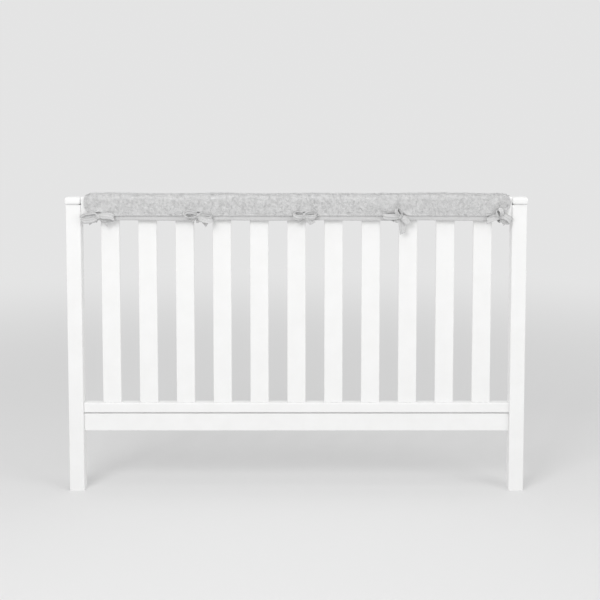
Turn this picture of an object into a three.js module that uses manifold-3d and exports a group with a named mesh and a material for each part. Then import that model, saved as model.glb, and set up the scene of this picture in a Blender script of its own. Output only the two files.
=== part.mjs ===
// Front of a crib with a padded plush cover tied over its top rail.
// Millimetres, +Z up. X runs along the rail, -Y is the front, and Z = 0 is the floor.
// The cover is one padded cloth folded over the rail, with a smooth binding along each lower edge.
// Five pairs of cloth ties, sewn to the bindings, meet below the rail and are tied in bows at the front.

import * as THREE from 'three';
import { mergeVertices } from 'three/addons/utils/BufferGeometryUtils.js';
import Module from 'manifold-3d';

const wasm = await Module();
wasm.setup();
const { smoothstep, lerp, clamp } = THREE.MathUtils;

// Driving dimensions of the wooden crib front

const GAP = 0.3; // left between pieces that touch
const post = { side: 46, height: 893, ease: 3 };
const clearWidth = 1318; // between the two posts
const postCap = { width: 49, depth: 58, height: 23, round: 8 };
const topRail = { depth: 36, height: 62, top: 916, ease: 5 };
const slat = { count: 11, width: 57, depth: 14, pitch: 114.4, ease: 3 };
const lowerRail = { depth: 30, height: 31, top: 275, ease: 3 };
const baseBeam = { depth: 24, height: 55, top: 241, ease: 3 };

// Driving dimensions of the cover

const cover = {
  left: -647, // its two ends
  right: 650,
  clear: 2, // how far it stands off the wood
  halfDepth: 26.5, // of the outside, at the front and the back
  top: 924,
  corner: 14, // radius of the padded fold over the rail's edges
  innerCorner: 7,
  lowerEdge: 859.5,
  edgeThickness: 3.6, // where the padding runs out at the sewn edges
  edgeTaper: 16,
  lip: 3.2, // the lower edge stands this far out, over the binding
  lipHeight: 20,
  crowning: 1.2, // the padding's extra swell half way down each side
  drawnEnd: 60, // the length over which the ends draw in
};
const binding = { thickness: 2.2, belly: 0.3, bottom: 844.5, top: 867, left: -625, right: 633 };
const tie = { width: 17, gathered: 8, thickness: 1.4 };
// How far before the rail's middle the parts of a bow stand: the strap that comes up from under the
// rail, the root of the front tie, the knot, and the hind layer of a loop
const before = { strap: 25.8, root: 23.9, knot: 30.5, loop: 29.8 };
const knot = { halfWidth: 7.5, halfDepth: 5.5, halfHeight: 7 };

// How far the cover's ends draw in, by the way round from the middle of its top
const endInset = [
  { round: 0, inset: 6 },
  { round: 24, inset: 3 },
  { round: 44, inset: 0 },
  { round: 54, inset: 1 },
  { round: 64, inset: 6 },
  { round: 74, inset: 12 },
  { round: 85, inset: 19 },
];

// Low swellings and dips of the top, as uneven as the worn padding is
const humps = [
  { at: -560, rise: 1.6, width: 60 },
  { at: -430, rise: -1.0, width: 50 },
  { at: -235, rise: 1.4, width: 45 },
  { at: -90, rise: -1.2, width: 60 },
  { at: 60, rise: 1.2, width: 40 },
  { at: 215, rise: -1.3, width: 55 },
  { at: 420, rise: 2.0, width: 70 },
  { at: 590, rise: -1.0, width: 40 },
];

// Creases that run along the rail where the padding is bent over it. round is how far from the middle
// of the top they lie, with the front below zero, and sway is how far they wander.
const creaseFade = 60;
const longCreases = [
  { from: -640, to: -210, round: -24, depth: 1.6, width: 6, sway: 3 },
  { from: -80, to: 390, round: -26, depth: 1.8, width: 6, sway: 3 },
  { from: -480, to: 150, round: 2, depth: 1.3, width: 7, sway: 5 },
  { from: 230, to: 650, round: -6, depth: 1.4, width: 7, sway: 4 },
  { from: -560, to: 10, round: 26, depth: 1.6, width: 6, sway: 3 },
  { from: 120, to: 600, round: 24, depth: 1.5, width: 6, sway: 4 },
];

// Where each pair of ties is knotted, where its strap passes under the rail, and where the limbs of the
// bow end. A limb's end is given from the knot, along the rail and up, and fan is how far a loop's two
// layers spread apart.
const bows = [
  {
    knotAt: -604,
    knotUp: 857,
    strapAt: -620,
    backLoop: { along: -50, up: -9, fan: 6 },
    backTail: { along: -33, up: -25 },
    frontLoop: { along: 50, up: -4, fan: 3 },
    frontTail: { along: 36, up: -31 },
  },
  {
    knotAt: -300,
    knotUp: 859,
    strapAt: -297,
    backLoop: { along: -38, up: 4, fan: 7 },
    backTail: { along: -30, up: -17 },
    frontLoop: { along: 42, up: -8, fan: 5 },
    frontTail: { along: 29, up: -28 },
  },
  {
    knotAt: 23,
    knotUp: 858,
    strapAt: 38,
    backLoop: { along: -30, up: 5, fan: 7 },
    backTail: { along: 24, up: -26 },
    frontLoop: { along: 36, up: 6, fan: 3 },
    frontTail: { along: -18, up: -25 },
  },
  {
    knotAt: 317,
    knotUp: 859,
    strapAt: 304,
    backLoop: { along: -13, up: 23, fan: 3 },
    backTail: { along: 26, up: -25 },
    frontLoop: { along: -53, up: 1, fan: 2 },
    frontTail: { along: 10, up: -55 },
  },
  {
    knotAt: 625,
    knotUp: 857,
    strapAt: 630,
    backLoop: { along: -9, up: 26, fan: 3 },
    backTail: { along: -58, up: -19 },
    frontLoop: { along: 22, up: -7, fan: 3 },
    frontTail: { along: 19, up: -31 },
  },
];
// How a tie draws up and pinches the cloth above it
const tuck = { rise: 9, bindingRise: 5, pull: 2.8, width: 18 };

// Puckers that fan out above the knots. start and lean are along the rail, at the lower edge and for
// each mm up.
const puckerSpread = 0.12;
const puckers = [
  { bow: 0, start: -10, lean: -0.5, depth: 2.4, reach: 34, width: 5 },
  { bow: 0, start: 12, lean: 0.35, depth: 2.0, reach: 26, width: 5 },
  { bow: 1, start: -7, lean: -0.3, depth: 1.8, reach: 26, width: 5 },
  { bow: 1, start: 14, lean: 0.6, depth: 2.2, reach: 36, width: 6 },
  { bow: 2, start: -12, lean: -0.4, depth: 2.0, reach: 30, width: 5 },
  { bow: 2, start: 22, lean: 0.5, depth: 2.4, reach: 34, width: 6 },
  { bow: 3, start: -8, lean: -0.1, depth: 2.6, reach: 38, width: 5 },
  { bow: 3, start: 16, lean: 0.5, depth: 1.8, reach: 26, width: 6 },
  { bow: 4, start: -14, lean: -0.5, depth: 2.4, reach: 36, width: 6 },
  { bow: 4, start: 6, lean: 0.1, depth: 2.2, reach: 30, width: 5 },
];

// Finishes

const paintedWood = new THREE.MeshStandardMaterial({ color: 0xf4f4f2, roughness: 0.45, metalness: 0 });
const greyPlush = new THREE.MeshStandardMaterial({ color: 0xc9c9ca, roughness: 1, metalness: 0 });
const greyCotton = new THREE.MeshStandardMaterial({ color: 0xcdcdce, roughness: 0.85, metalness: 0 });

const part = new THREE.Group();

function add(name, geometry, material) {
  const mesh = new THREE.Mesh(geometry, material.clone());
  mesh.name = name;
  part.add(mesh);
  return mesh;
}

// Wooden members

// A board's section with eased edges, centred on its axis.
function easedSection(width, depth, ease) {
  const x = width / 2;
  const y = depth / 2;
  const outline = new THREE.Shape();
  outline.moveTo(x, -y + ease);
  outline.lineTo(x, y - ease);
  outline.absarc(x - ease, y - ease, ease, 0, Math.PI / 2, false);
  outline.lineTo(-x + ease, y);
  outline.absarc(-x + ease, y - ease, ease, Math.PI / 2, Math.PI, false);
  outline.lineTo(-x, -y + ease);
  outline.absarc(-x + ease, -y + ease, ease, Math.PI, 1.5 * Math.PI, false);
  outline.lineTo(x - ease, -y);
  outline.absarc(x - ease, -y + ease, ease, 1.5 * Math.PI, 2 * Math.PI, false);
  return outline;
}

// An upright board, from one height to another.
function upright(width, depth, ease, bottom, top) {
  const section = easedSection(width, depth, ease);
  const length = top - bottom;
  return new THREE.ExtrudeGeometry(section, { depth: length, bevelEnabled: false, curveSegments: 2 })
    .translate(0, 0, bottom);
}

// A board that lies along X between the posts, with its top at the given height.
function crossMember(member) {
  const length = clearWidth - 2 * GAP;
  const section = easedSection(member.height, member.depth, member.ease);
  return new THREE.ExtrudeGeometry(section, { depth: length, bevelEnabled: false, curveSegments: 2 })
    .translate(0, 0, -length / 2)
    .rotateY(Math.PI / 2)
    .translate(0, 0, member.top - member.height / 2);
}

// The block on top of a post, with round edges all about.
function capBlock() {
  const section = easedSection(postCap.width - 2 * postCap.round, postCap.depth - 2 * postCap.round, 1);
  return new THREE.ExtrudeGeometry(section, {
    depth: postCap.height - 2 * postCap.round,
    bevelThickness: postCap.round,
    bevelSize: postCap.round,
    bevelSegments: 4,
    curveSegments: 1,
  }).translate(0, 0, post.height + postCap.round);
}

function addWood() {
  for (const [side, sign] of [['left', -1], ['right', 1]]) {
    const at = (sign * (clearWidth + post.side)) / 2;
    const body = upright(post.side, post.side, post.ease, 0, post.height - GAP);
    add(`post_${side}`, body, paintedWood).position.x = at;
    add(`post_cap_${side}`, capBlock(), paintedWood).position.x = (sign * (clearWidth + postCap.width)) / 2;
  }
  add('top_rail', crossMember(topRail), paintedWood);
  add('lower_rail', crossMember(lowerRail), paintedWood);
  add('base_beam', crossMember(baseBeam), paintedWood);
  const slatTop = topRail.top - topRail.height - GAP;
  for (let i = 0; i < slat.count; i++) {
    const body = upright(slat.width, slat.depth, slat.ease, lowerRail.top + GAP, slatTop);
    add(`slat_${i + 1}`, body, paintedWood).position.x = (i - (slat.count - 1) / 2) * slat.pitch;
  }
}

// The padded cover

const quarterTurn = Math.PI / 2;

// From the middle of the cover's top round to its lower edge, on the outside.
const wayRound = cover.halfDepth - cover.corner * (2 - quarterTurn) + cover.top - cover.lowerEdge;
const bell = (distance, width) => Math.exp(-((distance / width) ** 2));

// How strongly the ties draw on the cover at a place along the rail, from 0 to 1.
const drawnIn = (x) => Math.min(1, bows.reduce((sum, bow) => sum + bell(x - bow.knotAt, tuck.width), 0));

// A point of an outline that hugs the rail, the way it faces, and how far round it lies from the middle
// of the top. side is -1 at the front, and share is the share of the way round to the lower edge.
function outlinePoint(side, share, halfDepth, top, corner, bottom) {
  const flat = halfDepth - corner;
  const turn = corner * quarterTurn;
  const drop = top - corner - cover.lowerEdge;
  const at = share * (flat + turn + drop);
  if (at <= flat) return { y: side * at, z: top, facing: [0, 1], round: at };
  if (at <= flat + turn) {
    const angle = (at - flat) / corner;
    const facing = [side * Math.sin(angle), Math.cos(angle)];
    const y = side * flat + corner * facing[0];
    return { y, z: top - corner + corner * facing[1], facing, round: at };
  }
  const down = (at - flat - turn) / drop;
  return { y: side * halfDepth, z: lerp(top - corner, bottom, down), facing: [side, 0], round: at };
}

// How far the outside stands in or out from its plain outline.
function relief(x, side, round, z) {
  const down = clamp((cover.top - z) / (cover.top - cover.lowerEdge), 0, 1);
  let out = cover.crowning * Math.sin(Math.PI * down);
  const high = 1 - smoothstep(down, 0.1, 0.6);
  for (const hump of humps) out += hump.rise * high * bell(x - hump.at, hump.width);
  for (const crease of longCreases) {
    const begun = smoothstep(x, crease.from, crease.from + creaseFade);
    const along = begun * (1 - smoothstep(x, crease.to - creaseFade, crease.to));
    const line = crease.round + crease.sway * Math.sin((x - crease.from) / 70);
    out -= crease.depth * along * bell(side * round - line, crease.width);
  }
  const above = z - cover.lowerEdge;
  const pulled = side < 0 ? 1 : 0.5;
  for (const pucker of puckers) {
    const line = bows[pucker.bow].knotAt + pucker.start + pucker.lean * above;
    const width = pucker.width + puckerSpread * above;
    out -= pulled * pucker.depth * bell(x - line, width) * bell(above, pucker.reach);
  }
  return out;
}

// Places along the cover: close together at its ends and at the ties, and wider apart between them.
function stations() {
  const step = { fine: 9, wide: 44, near: 14, far: 66 };
  const places = [cover.left];
  while (places.at(-1) < cover.right - step.fine) {
    const x = places.at(-1);
    const toKnots = bows.map((bow) => Math.abs(x - bow.knotAt));
    const nearest = Math.min(...toKnots, x - cover.left, cover.right - x);
    const stride = lerp(step.fine, step.wide, smoothstep(nearest, step.near, step.far));
    places.push(Math.min(cover.right, x + stride));
  }
  places[places.length - 1] = cover.right;
  return places;
}

// How far the cover's ends are drawn in at a way round from the middle of the top.
function insetAt(round) {
  const next = endInset.findIndex((row) => row.round >= round);
  if (next <= 0) return next < 0 ? endInset.at(-1).inset : endInset[0].inset;
  const [a, b] = [endInset[next - 1], endInset[next]];
  return lerp(a.inset, b.inset, smoothstep(round, a.round, b.round));
}

// One outside and one inside point of the cover, at a place along it and a share of the way round.
function coverPoints(x, side, share) {
  const draw = insetAt(share * wayRound);
  const toLeft = draw * (1 - smoothstep(x - cover.left, 0, cover.drawnEnd));
  const toRight = draw * (1 - smoothstep(cover.right - x, 0, cover.drawnEnd));
  const atX = x + toLeft - toRight;
  const drawn = drawnIn(atX);
  const bottom = cover.lowerEdge + tuck.rise * drawn;
  const outer = outlinePoint(side, share, cover.halfDepth, cover.top, cover.corner, bottom);
  const innerHalf = topRail.depth / 2 + cover.clear;
  const inner = outlinePoint(side, share, innerHalf, topRail.top + cover.clear, cover.innerCorner, bottom);
  const aboveEdge = outer.z - bottom;
  const fromEnd = Math.min(x - cover.left, cover.right - x);
  inner.y += side * cover.lip * (1 - smoothstep(aboveEdge, cover.lipHeight * 0.6, cover.lipHeight));
  const full = Math.hypot(outer.y - inner.y, outer.z - inner.z);
  const edge = (1 - smoothstep(aboveEdge, 0, cover.edgeTaper)) * 0.4;
  const end = 1 - smoothstep(fromEnd, 0, cover.edgeTaper);
  let out = relief(atX, side, outer.round, outer.z);
  out -= tuck.pull * drawn * (1 - smoothstep(aboveEdge, 4, 34)) * smoothstep(aboveEdge, -8, 10);
  out *= 1 - Math.max(edge, end);
  out -= Math.max(0, full - cover.edgeThickness) * Math.max(edge, end);
  const y = outer.y + outer.facing[0] * out;
  const z = outer.z + outer.facing[1] * out;
  return { outer: [atX, y, z], inner: [atX, inner.y, inner.z] };
}

// The closed skin of a strip of cloth: rings of outside and inside points, one ring for each place along X.
function sweptShell(places, shares, pointsAt) {
  const rings = places.map((x) => {
    const pairs = shares.map(({ side, share }) => pointsAt(x, side, share));
    return [...pairs.map((pair) => pair.outer), ...pairs.map((pair) => pair.inner).reverse()];
  });
  const size = rings[0].length;
  const index = [];
  for (let i = 0; i + 1 < rings.length; i++) {
    for (let k = 0; k < size; k++) {
      const [a, b] = [i * size + k, i * size + ((k + 1) % size)];
      index.push(a, a + size, b + size, a, b + size, b);
    }
  }
  const last = (rings.length - 1) * size;
  for (let j = 0; j + 1 < size / 2; j++) {
    const [o, p, q, r] = [j, j + 1, size - 2 - j, size - 1 - j];
    index.push(o, p, q, o, q, r, last + o, last + q, last + p, last + o, last + r, last + q);
  }
  const geometry = new THREE.BufferGeometry();
  geometry.setAttribute('position', new THREE.Float32BufferAttribute(rings.flat(2), 3));
  geometry.setIndex(index);
  geometry.computeVertexNormals();
  return geometry;
}

function addCover() {
  const half = [0.12, 0.21, 0.28, 0.35, 0.43, 0.54, 0.66, 0.78, 0.86, 0.93, 1];
  const shares = [
    ...half.toReversed().map((share) => ({ side: -1, share })),
    { side: 1, share: 0 },
    ...half.map((share) => ({ side: 1, share })),
  ];
  add('plush_cover', sweptShell(stations(), shares, coverPoints), greyPlush);
}

// The bindings, a folded strip of smooth cloth behind each lower edge of the plush
function bindingPoints(x, side, share) {
  const drawn = drawnIn(x);
  const hang = 1 - share;
  const belly = hang * (binding.belly * (1 + Math.sin(x / 61)) - 0.4 * drawn);
  const inside = topRail.depth / 2 + cover.clear + GAP + belly;
  const outside = inside + binding.thickness * (1 - 0.3 * share);
  const rise = tuck.bindingRise * drawn * (0.6 + 0.4 * share);
  const z = lerp(binding.bottom, binding.top, share) + 0.8 * Math.sin(x / 47) * hang + rise;
  return { outer: [x, side * outside, z], inner: [x, side * inside, z] };
}

function addBindings() {
  const between = stations().filter((x) => x > binding.left + 6 && x < binding.right - 6);
  const places = [binding.left, ...between, binding.right];
  for (const [name, side, rows] of [['front', -1, [0, 0.5, 1]], ['back', 1, [1, 0.5, 0]]]) {
    const shares = rows.map((share) => ({ side, share }));
    add(`binding_${name}`, sweptShell(places, shares, bindingPoints), greyCotton);
  }
}

// The ties

function solidFrom(geometry) {
  const bare = geometry.clone();
  for (const name of ['normal', 'uv']) bare.deleteAttribute(name);
  const merged = mergeVertices(bare, 1e-4);
  return new wasm.Manifold(
    new wasm.Mesh({
      numProp: 3,
      vertProperties: merged.attributes.position.array,
      triVerts: new Uint32Array(merged.index.array),
    }),
  );
}

function geometryFrom(solid) {
  const { vertProperties, triVerts } = solid.getMesh();
  const geometry = new THREE.BufferGeometry();
  geometry.setAttribute('position', new THREE.BufferAttribute(new Float32Array(vertProperties), 3));
  geometry.setIndex(new THREE.BufferAttribute(new Uint32Array(triVerts), 1));
  geometry.computeVertexNormals();
  return geometry;
}

// A flat ribbon along a smooth line. across is its width's direction, and width gives its size by the
// share of its length. swell makes it larger all round.
function ribbon(points, across, width, steps, swell) {
  const line = new THREE.CatmullRomCurve3(points.map((p) => new THREE.Vector3(...p)), false, 'centripetal');
  const half = tie.thickness / 2 + swell;
  const rings = [];
  for (let i = 0; i <= steps; i++) {
    const t = i / steps;
    const forward = line.getTangentAt(t);
    const past = i === 0 ? -swell : i === steps ? swell : 0;
    const at = line.getPointAt(t).addScaledVector(forward, past);
    const wide = across.clone();
    wide.addScaledVector(forward, -wide.dot(forward)).normalize();
    const thick = new THREE.Vector3().crossVectors(forward, wide);
    const reach = width(t) / 2 + swell;
    for (const [a, b] of [[-1, -1], [1, -1], [1, 1], [-1, 1]]) {
      rings.push(at.clone().addScaledVector(wide, a * reach).addScaledVector(thick, b * half));
    }
  }
  const index = [0, 2, 1, 0, 3, 2];
  for (let i = 0; i < steps; i++) {
    for (let k = 0; k < 4; k++) {
      const [a, b] = [i * 4 + k, i * 4 + ((k + 1) % 4)];
      index.push(a, b, b + 4, a, b + 4, a + 4);
    }
  }
  const last = steps * 4;
  index.push(last, last + 1, last + 2, last, last + 2, last + 3);
  const geometry = new THREE.BufferGeometry().setFromPoints(rings);
  geometry.setIndex(index);
  return solidFrom(geometry);
}

// The length of a bow's limb, the way it points and the way across it, in the plane of the rail's front.
function limbAxes(limb) {
  const reach = Math.hypot(limb.along, limb.up);
  const way = [limb.along / reach, limb.up / reach];
  return { reach, way, across: new THREE.Vector3(-way[1], 0, way[0]) };
}

const gathering = (share) => lerp(tie.gathered, tie.width, smoothstep(share, 0.05, 0.45));

// A loop: out from the knot, round its far end and back. Its two layers spread apart, the hind one
// upwards. Each row holds how far out a point lies, how far it stands before the hind layer, and its
// share of the spread.
function loop(bow, limb, root, swell) {
  const { reach, way, across } = limbAxes(limb);
  const lift = across.z < 0 ? -limb.fan : limb.fan;
  const rows = [
    [0, root - before.loop, 0],
    [10, -0.6, 0.4],
    [reach * 0.55, -0.2, 1],
    [reach * 0.9, 1, 0.8],
    [reach, 4.5, 0],
    [reach * 0.86, 8.2, -0.8],
    [reach * 0.5, 8.6, -0.9],
    [8, 3, -0.2],
  ];
  const points = rows.map(([out, rise, spread]) => [
    bow.knotAt + way[0] * out + across.x * lift * spread,
    -before.loop - rise,
    bow.knotUp + way[1] * out + across.z * lift * spread,
  ]);
  const width = (t) => gathering(t < 0.5 ? t * 2 : (1 - t) * 2);
  return ribbon(points, across, width, 16, swell);
}

// A free end: out from the knot, bent a little by its weight. Each row holds a share of its length and
// how far it stands before its root.
function tail(bow, limb, root, rows, swell) {
  const { reach, way, across } = limbAxes(limb);
  const bend = 0.08 * reach;
  const points = rows.map(([share, out]) => [
    bow.knotAt + way[0] * share * reach,
    -root - out,
    bow.knotUp + way[1] * share * reach + bend * Math.sin(Math.PI * share),
  ]);
  return ribbon(points, across, gathering, 8, swell);
}

function knotSolid(bow, swell) {
  const { halfWidth, halfDepth, halfHeight } = knot;
  const ball = new THREE.SphereGeometry(1, 10, 7)
    .scale(halfWidth + swell, halfDepth + swell, halfHeight + swell)
    .translate(bow.knotAt, -before.knot, bow.knotUp);
  return solidFrom(ball);
}

const alongRail = new THREE.Vector3(1, 0, 0);

// The tie sewn to the back binding. It passes under the rail between two slats and forms the knot, a
// loop and a tail. Each row of its strap holds a share of the way along to the knot, a place front to
// back, and a height.
function backTie(bow, swell) {
  const wood = topRail.depth / 2 + cover.clear;
  const behind = wood + binding.thickness + binding.belly + tie.thickness + 3 * GAP;
  const under = binding.bottom - 5;
  const strap = [
    [0, behind, binding.bottom + 11],
    [0, behind, binding.bottom + 2],
    [0, behind - 0.1, under + 3],
    [0, behind - 3.4, under],
    [0, 0, under - 0.4],
    [0, -before.strap + 7, under],
    [0.1, -before.strap + 1.4, under + 0.8],
    [0.4, -before.strap - 0.2, under + 7],
    [0.9, -before.strap - 1.6, bow.knotUp - 4],
  ];
  const fall = [[0, 0], [0.35, 0.7], [0.7, -0.1], [1, -1.1]];
  const points = strap.map(([share, y, z]) => [lerp(bow.strapAt, bow.knotAt, share), y, z]);
  const width = (t) => lerp(tie.width, tie.gathered, smoothstep(t, 0.75, 1));
  return ribbon(points, alongRail, width, 18, swell)
    .add(knotSolid(bow, swell))
    .add(loop(bow, bow.backLoop, before.knot, swell))
    .add(tail(bow, bow.backTail, before.knot, fall, swell));
}

// The tie sewn to the front binding. From its root behind the knot come the other loop and the other tail.
function frontTie(bow) {
  const tab = [3, 10, 17].map((up) => [bow.knotAt, -before.root, binding.bottom + up]);
  const fall = [[0, 0], [0.3, 0.6], [0.65, 2.4], [1, 3.2]];
  return ribbon(tab, alongRail, () => tie.gathered + 3, 3, 0)
    .add(loop(bow, bow.frontLoop, before.root, 0))
    .add(tail(bow, bow.frontTail, before.root, fall, 0))
    .subtract(backTie(bow, 2 * GAP));
}

function addTies() {
  bows.forEach((bow, i) => {
    add(`tie_back_${i + 1}`, geometryFrom(backTie(bow, 0)), greyCotton);
    add(`tie_front_${i + 1}`, geometryFrom(frontTie(bow)), greyCotton);
  });
}

addWood();
addCover();
addBindings();
addTies();

// The origin lies on the floor under the middle of the whole part.
const middle = new THREE.Box3().setFromObject(part).getCenter(new THREE.Vector3());
part.position.set(-middle.x, -middle.y, 0);

export default part;
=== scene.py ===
"""The front of a crib with a padded plush cover tied over its top rail, dressed for its picture.

Blender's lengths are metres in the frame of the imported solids: X runs along the rail, -Y is the front
and Z = 0 is the floor. The soft pieces are worked out in millimetres, with Y = 0 at the rail's middle.
"""

import math

import bpy
import numpy as np
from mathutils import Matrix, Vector


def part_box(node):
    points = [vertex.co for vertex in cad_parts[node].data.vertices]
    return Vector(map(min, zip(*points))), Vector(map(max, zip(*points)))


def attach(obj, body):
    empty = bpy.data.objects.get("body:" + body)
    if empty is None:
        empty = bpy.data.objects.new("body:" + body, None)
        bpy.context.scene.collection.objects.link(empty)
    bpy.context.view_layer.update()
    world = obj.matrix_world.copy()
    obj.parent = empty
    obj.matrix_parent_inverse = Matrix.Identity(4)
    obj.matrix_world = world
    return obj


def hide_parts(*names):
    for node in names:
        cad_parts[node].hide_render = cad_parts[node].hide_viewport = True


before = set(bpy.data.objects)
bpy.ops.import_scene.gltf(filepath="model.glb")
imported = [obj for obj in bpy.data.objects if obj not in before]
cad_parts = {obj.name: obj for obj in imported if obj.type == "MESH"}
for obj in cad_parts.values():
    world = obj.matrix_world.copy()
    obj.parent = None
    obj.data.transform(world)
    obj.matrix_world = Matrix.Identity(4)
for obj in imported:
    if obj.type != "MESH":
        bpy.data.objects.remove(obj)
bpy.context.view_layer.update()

# The view of the photograph. The camera stands some 3.6 m before the crib front, a little higher than
# its rail, and looks slightly down. The shift sets the rail high in the picture, as it is there.
lens_of_view = bpy.data.cameras.new("view_camera")
lens_of_view.sensor_width = 36
lens_of_view.lens = 70.48
lens_of_view.shift_y = -0.2
view_camera = bpy.data.objects.new("view_camera", lens_of_view)
view_camera.location = (0.011, -3.584, 1.25)
view_camera.rotation_euler = (math.radians(90 - 4.506), 0, 0)
bpy.context.collection.objects.link(view_camera)
bpy.context.scene.camera = view_camera

# The studio: a pale matt floor and soft white light. One large lamp hangs before the crib and to the
# left, a weaker one to the right and one overhead, and the pale surroundings fill in the rest.
FLOOR_SIDE, FLOOR_GREY = 16, "#e4e4e4"
FADE_FROM, FADE_TO = 0.8, 4.5  # where the floor passes into its surroundings, from its middle
SURROUNDINGS_WHITE, SURROUNDINGS_GLOW = "#f4f4f4", 0.86  # as they show
FILLING_WHITE, FILLING_GLOW = "#f5f5f5", 0.68  # as they light the crib

# Each lamp: where it hangs, what it points at, the side of its square in metres and its power in watts
LAMPS = [
    ("lamp_left", (-1.5, -3.1, 2.8), (0, 0, 0.7), 1.8, 53),
    ("lamp_right", (3.0, -2.4, 2.0), (0, 0, 0.6), 2.2, 28),
    ("lamp_overhead", (0.2, -0.3, 3.4), (0, 0, 0.8), 2.4, 18),
]


def linear(hex_colour):
    """An sRGB hex colour as the linear colour that a shader takes."""
    parts = [int(hex_colour[i : i + 2], 16) / 255 for i in (1, 3, 5)]
    return tuple(c / 12.92 if c <= 0.04045 else ((c + 0.055) / 1.055) ** 2.4 for c in parts) + (1,)


def add_node(tree, kind, values=None, links=None, **settings):
    """Adds a node with its settings, the values of its sockets and the links into them."""
    node = tree.nodes.new(kind)
    for name, value in settings.items():
        setattr(node, name, value)
    for socket, value in (values or {}).items():
        node.inputs[socket].default_value = value
    for socket, source in (links or {}).items():
        tree.links.new(source, node.inputs[socket])
    return node


def start_finish(name):
    """A new material with only its shader, ready for the nodes that feed it."""
    material = bpy.data.materials.new(name)
    material.use_nodes = True
    return material, material.node_tree, material.node_tree.nodes["Principled BSDF"]


bpy.ops.object.select_all(action="DESELECT")
bpy.ops.mesh.primitive_plane_add(size=FLOOR_SIDE)
floor = bpy.context.object
floor.name = "studio_floor"
floor_paint, tree, shader = start_finish("matt_floor_paint")
shader.inputs["Base Color"].default_value = linear(FLOOR_GREY)
shader.inputs["Roughness"].default_value = 0.8
# Away from the crib the floor passes into the surroundings, as a backdrop swept up behind it would
spot = add_node(tree, "ShaderNodeTexCoord")
away = add_node(tree, "ShaderNodeVectorMath", links={0: spot.outputs["Object"]}, operation="LENGTH")
far = add_node(
    tree,
    "ShaderNodeMapRange",
    {"From Min": FADE_FROM, "From Max": FADE_TO},
    {"Value": away.outputs["Value"]},
    interpolation_type="SMOOTHSTEP",
)
backdrop = add_node(
    tree, "ShaderNodeEmission", {"Color": linear(SURROUNDINGS_WHITE), "Strength": SURROUNDINGS_GLOW}
)
swept = add_node(
    tree, "ShaderNodeMixShader", links={0: far.outputs[0], 1: shader.outputs[0], 2: backdrop.outputs[0]}
)
tree.links.new(swept.outputs[0], tree.nodes["Material Output"].inputs["Surface"])
floor.data.materials.append(floor_paint)

# The surroundings light the crib less than they show, as a white wall far behind it would
surroundings = bpy.data.worlds.new("pale_surroundings")
surroundings.use_nodes = True
sky = surroundings.node_tree
shown = add_node(
    sky, "ShaderNodeBackground", {"Color": linear(SURROUNDINGS_WHITE), "Strength": SURROUNDINGS_GLOW}
)
filling = add_node(sky, "ShaderNodeBackground", {"Color": linear(FILLING_WHITE), "Strength": FILLING_GLOW})
rays = add_node(sky, "ShaderNodeLightPath")
either = add_node(
    sky,
    "ShaderNodeMixShader",
    links={0: rays.outputs["Is Camera Ray"], 1: filling.outputs[0], 2: shown.outputs[0]},
)
sky.links.new(either.outputs[0], sky.nodes["World Output"].inputs["Surface"])
bpy.context.scene.world = surroundings

for name, place, aim, side, watts in LAMPS:
    light = bpy.data.lights.new(name, "AREA")
    light.size = side
    light.energy = watts
    lamp = bpy.data.objects.new(name, light)
    lamp.location = place
    lamp.rotation_euler = (Vector(aim) - Vector(place)).to_track_quat("-Z", "Y").to_euler()
    lamp.visible_camera = False
    bpy.context.collection.objects.link(lamp)
bpy.context.scene.view_settings.view_transform = "Standard"

# The crib front: posts, rails, beam and slats of pine, sanded, primed and sprayed with white satin
# lacquer. The lacquer levels out, but the grain still shows through as faint long ripples, and the
# film is a little duller in patches, as hands and cloth rub it.
WOOD_RAILS = ["top_rail", "lower_rail", "base_beam"]
WOOD_UPRIGHTS = ["post_left", "post_right", "post_cap_left", "post_cap_right"]
WOOD_UPRIGHTS += [f"slat_{i + 1}" for i in range(11)]
LACQUER_THICK, LACQUER_THIN = "#f6f6f6", "#efefee"
GRAIN_ALONG = 0.04  # the grain's pattern is this much slower along a board than across it

# The sockets of a Mix node's two colours, and of their mix
MIX_FIRST, MIX_SECOND, MIX_RESULT = 6, 7, 2


def lacquered_pine(name, grain_stretch):
    """White lacquer over pine. grain_stretch scales the pattern down along the grain."""
    material, tree, shader = start_finish(name)
    place = add_node(tree, "ShaderNodeTexCoord").outputs["Object"]
    along = add_node(tree, "ShaderNodeMapping", {"Scale": grain_stretch}, {"Vector": place}).outputs[0]
    # Growth rings 3 mm apart, drawn out along the board
    grain = add_node(
        tree, "ShaderNodeTexNoise", {"Scale": 330, "Detail": 3, "Roughness": 0.55}, {"Vector": along}
    )
    # Patches of 60 mm where the film is thicker or thinner
    patches = add_node(tree, "ShaderNodeTexNoise", {"Scale": 16, "Detail": 2}, {"Vector": place})
    tint = add_node(
        tree,
        "ShaderNodeMix",
        {MIX_FIRST: linear(LACQUER_THICK), MIX_SECOND: linear(LACQUER_THIN)},
        {0: patches.outputs["Fac"]},
        data_type="RGBA",
    )
    dull = add_node(
        tree,
        "ShaderNodeMapRange",
        {"From Min": 0.3, "From Max": 0.7, "To Min": 0.32, "To Max": 0.46},
        {"Value": patches.outputs["Fac"]},
    )
    ripple = add_node(
        tree, "ShaderNodeBump", {"Strength": 0.25, "Distance": 0.0002}, {"Height": grain.outputs["Fac"]}
    )
    tree.links.new(tint.outputs[MIX_RESULT], shader.inputs["Base Color"])
    tree.links.new(dull.outputs["Result"], shader.inputs["Roughness"])
    tree.links.new(ripple.outputs["Normal"], shader.inputs["Normal"])
    shader.inputs["IOR"].default_value = 1.49
    return material


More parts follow.
